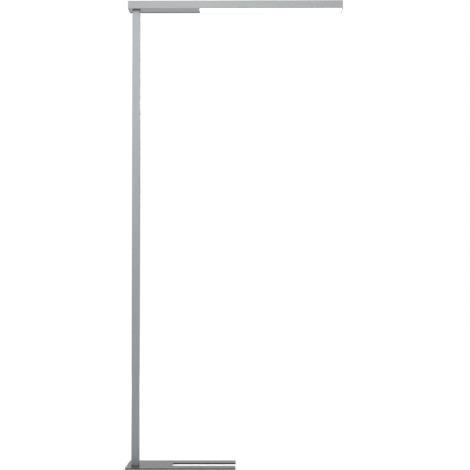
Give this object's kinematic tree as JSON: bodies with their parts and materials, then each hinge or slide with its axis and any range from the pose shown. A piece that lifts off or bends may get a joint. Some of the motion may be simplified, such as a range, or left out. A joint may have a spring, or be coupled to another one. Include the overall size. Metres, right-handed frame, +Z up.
{
  "type": "office floor lamp",
  "caption": "Slim L-shaped office floor lamp: a square post on a flat slotted base plate carries a long narrow lit head.",
  "frame": {"origin": "on the post's axis at the floor", "axes": "+Z up along the post, +X from the post towards the head's free tip, +Y towards the back, where the mains inlet is"},
  "size_m": [0.905, 0.22, 1.95],
  "materials": {
    "base_metal": "satin, fine cross grain",
    "glide_rubber": "matt",
    "screw_steel": "zinc plated",
    "block_aluminium": "milled",
    "post_metal": "satin, silver anodised",
    "head_metal": "satin, silver anodised",
    "cap_metal": "satin, silver anodised",
    "cover_metal": "satin silver-grey paint",
    "opal_diffuser": "satin opal, lit from behind",
    "tray_metal": "white paint",
    "circuit_board": "white solder mask",
    "led_package": "phosphor",
    "white_plastic": "moulded",
    "driver_case": "moulded",
    "black_plastic": "moulded, fine texture",
    "pin_brass": "nickel-free, bright",
    "bezel_metal": "satin, turned",
    "button_metal": "satin, turned face",
    "spring_steel": "bright wire",
    "lead_sheath": "matt sheath"
  },
  "bodies": {
    "lamp": {"base_plate": "base_metal", "base_glides": "glide_rubber", "foot_screws": "screw_steel", "post_foot_block": "block_aluminium", "post_tube": "post_metal", "post_neck_block": "block_aluminium", "post_side_screws": "screw_steel", "neck_bracket": "block_aluminium", "neck_screws": "screw_steel", "bracket_screws": "screw_steel", "head_housing": "head_metal", "end_cap_post_side": "cap_metal", "end_cap_tip": "cap_metal", "end_cap_screws": "screw_steel", "driver_cover": "cover_metal", "diffuser": "opal_diffuser", "gear_tray": "tray_metal", "led_boards": "circuit_board", "led_packages": "led_package", "board_connectors": "white_plastic", "led_driver": "driver_case", "gear_screws": "screw_steel", "terminal_block": "white_plastic", "inlet_housing": "black_plastic", "inlet_pins": "pin_brass", "switch_barrel": "bezel_metal", "switch_nut": "bezel_metal", "switch_board": "circuit_board", "switch_connector": "white_plastic", "switch_spring": "spring_steel", "mains_lead": "lead_sheath", "signal_lead": "lead_sheath", "head_leads": "lead_sheath"},
    "button": {"switch_button": "button_metal"}
  },
  "joints": [
    {"name": "button_press", "type": "slide", "parent": "lamp", "child": "button", "axis": [-1, 0, 0], "range_m": [0, 0.001], "stiffness_N_per_m": 900, "deforming": ["switch_spring"]}
  ]
}
